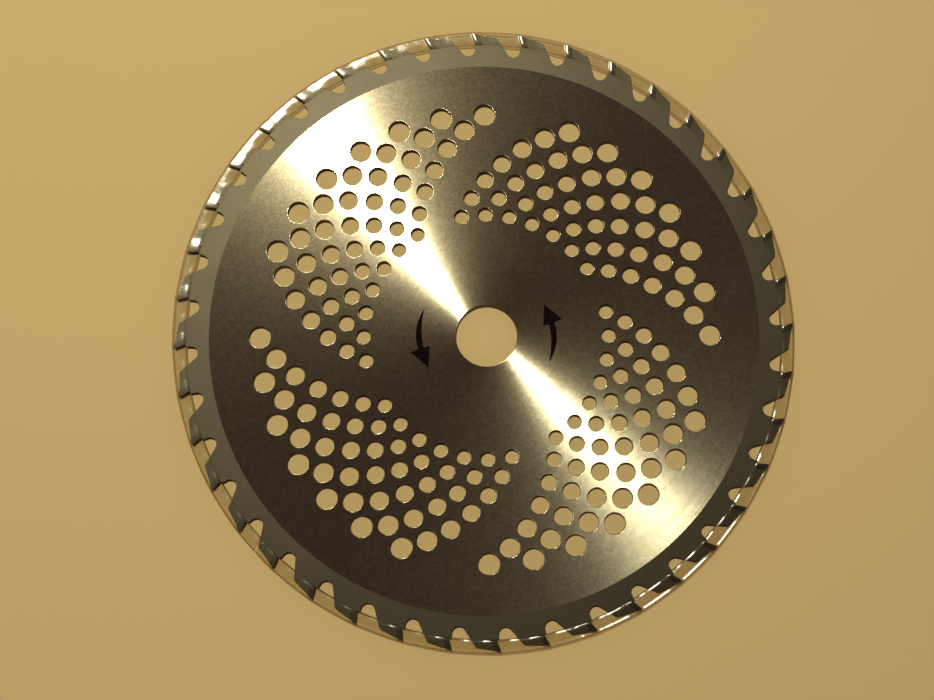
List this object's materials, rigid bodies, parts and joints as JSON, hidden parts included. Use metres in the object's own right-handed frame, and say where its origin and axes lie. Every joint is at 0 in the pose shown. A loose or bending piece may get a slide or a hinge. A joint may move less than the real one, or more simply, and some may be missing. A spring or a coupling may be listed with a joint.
{
  "type": "brush cutter blade",
  "caption": "Thin round steel brush cutter blade with brazed carbide tips, spiral groups of lightening holes, a plain centre bore and a clear push-on strip that guards the teeth.",
  "frame": {"origin": "on the bore axis, half way through the plate", "axes": "+Z along the bore axis towards the face with the turning arrows, which is the face the picture shows; seen from +Z the teeth travel anticlockwise; +X is to the right of the picture and +Y to its top"},
  "size_m": [0.2574, 0.2574, 0.0032],
  "materials": {
    "plate_steel": "ground in circles inside the rim band, fine blasted grey on the band",
    "carbide": "ground tungsten carbide, satin dark grey",
    "clear_strip": "clear soft plastic, glossy",
    "print_ink": "black screen print"
  },
  "bodies": {
    "root": {"blade_disc": "plate_steel", "carbide_tip_01": "carbide", "carbide_tip_02": "carbide", "carbide_tip_03": "carbide", "carbide_tip_04": "carbide", "carbide_tip_05": "carbide", "carbide_tip_06": "carbide", "carbide_tip_07": "carbide", "carbide_tip_08": "carbide", "carbide_tip_09": "carbide", "carbide_tip_10": "carbide", "carbide_tip_11": "carbide", "carbide_tip_12": "carbide", "carbide_tip_13": "carbide", "carbide_tip_14": "carbide", "carbide_tip_15": "carbide", "carbide_tip_16": "carbide", "carbide_tip_17": "carbide", "carbide_tip_18": "carbide", "carbide_tip_19": "carbide", "carbide_tip_20": "carbide", "carbide_tip_21": "carbide", "carbide_tip_22": "carbide", "carbide_tip_23": "carbide", "carbide_tip_24": "carbide", "carbide_tip_25": "carbide", "carbide_tip_26": "carbide", "carbide_tip_27": "carbide", "carbide_tip_28": "carbide", "carbide_tip_29": "carbide", "carbide_tip_30": "carbide", "carbide_tip_31": "carbide", "carbide_tip_32": "carbide", "carbide_tip_33": "carbide", "carbide_tip_34": "carbide", "carbide_tip_35": "carbide", "carbide_tip_36": "carbide", "carbide_tip_37": "carbide", "carbide_tip_38": "carbide", "carbide_tip_39": "carbide", "carbide_tip_40": "carbide", "edge_guard": "clear_strip"}
  },
  "joints": []
}
